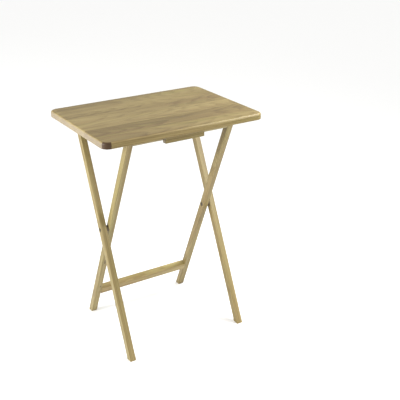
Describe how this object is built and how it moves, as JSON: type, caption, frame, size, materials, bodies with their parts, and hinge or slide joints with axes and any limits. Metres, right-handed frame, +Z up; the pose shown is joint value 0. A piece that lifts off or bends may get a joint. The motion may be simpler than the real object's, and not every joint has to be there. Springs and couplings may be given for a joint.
{
  "type": "folding tray table",
  "caption": "Folding wooden tray table: solid rectangular top with rounded corners on two crossed leg frames, hinged at the back and stopped by a block at the front.",
  "frame": {"origin": "on the floor, under the centre of the tabletop", "axes": "+Z up; X along the table's long side; -Y is the user's side, where the stop block is; the top is hinged near its +Y edge"},
  "size_m": [0.49, 0.356, 0.65],
  "materials": {
    "wood_top": "clear satin lacquer on solid glued-up boards",
    "wood_frame": "clear satin lacquer",
    "steel": "dark bronzed plating, slightly dull",
    "nylon": "matte brown"
  },
  "bodies": {
    "outer_frame": {"outer_leg_left": "wood_frame", "outer_leg_right": "wood_frame", "rear_rod": "wood_frame", "rear_rod_pin_left": "steel", "rear_rod_pin_right": "steel", "pivot_bolt_left": "steel", "pivot_bolt_right": "steel", "pivot_cap_left": "steel", "pivot_cap_right": "steel", "pivot_spacer_left": "nylon", "pivot_spacer_right": "nylon"},
    "inner_frame": {"inner_leg_left": "wood_frame", "inner_leg_right": "wood_frame", "crossbar": "wood_frame", "stretcher": "wood_frame", "crossbar_pin_left": "steel", "crossbar_pin_right": "steel", "stretcher_pin_left": "steel", "stretcher_pin_right": "steel"},
    "top": {"tabletop": "wood_top", "cleat_left": "wood_frame", "cleat_right": "wood_frame", "catch_block": "wood_frame", "cleat_screw_left_1": "steel", "cleat_screw_left_2": "steel", "cleat_screw_left_3": "steel", "cleat_screw_right_1": "steel", "cleat_screw_right_2": "steel", "cleat_screw_right_3": "steel", "block_screw_1": "steel", "block_screw_2": "steel", "hinge_pin_left": "steel", "hinge_pin_right": "steel", "hinge_cap_left": "steel", "hinge_cap_right": "steel", "hinge_washer_left": "nylon", "hinge_washer_right": "nylon"}
  },
  "joints": [
    {"name": "leg_scissor", "type": "hinge", "parent": "outer_frame", "child": "inner_frame", "pos_m": [0, -0.00695, 0.33659], "axis": [-1, 0, 0], "range_deg": [0, 45]},
    {"name": "top_hinge", "type": "hinge", "parent": "outer_frame", "child": "top", "pos_m": [0, 0.1221, 0.6224], "axis": [-1, 0, 0], "range_deg": [0, 22.5]}
  ],
  "couplings": [
    {"joint": "top_hinge", "follows": "leg_scissor", "ratio": 0.5}
  ]
}
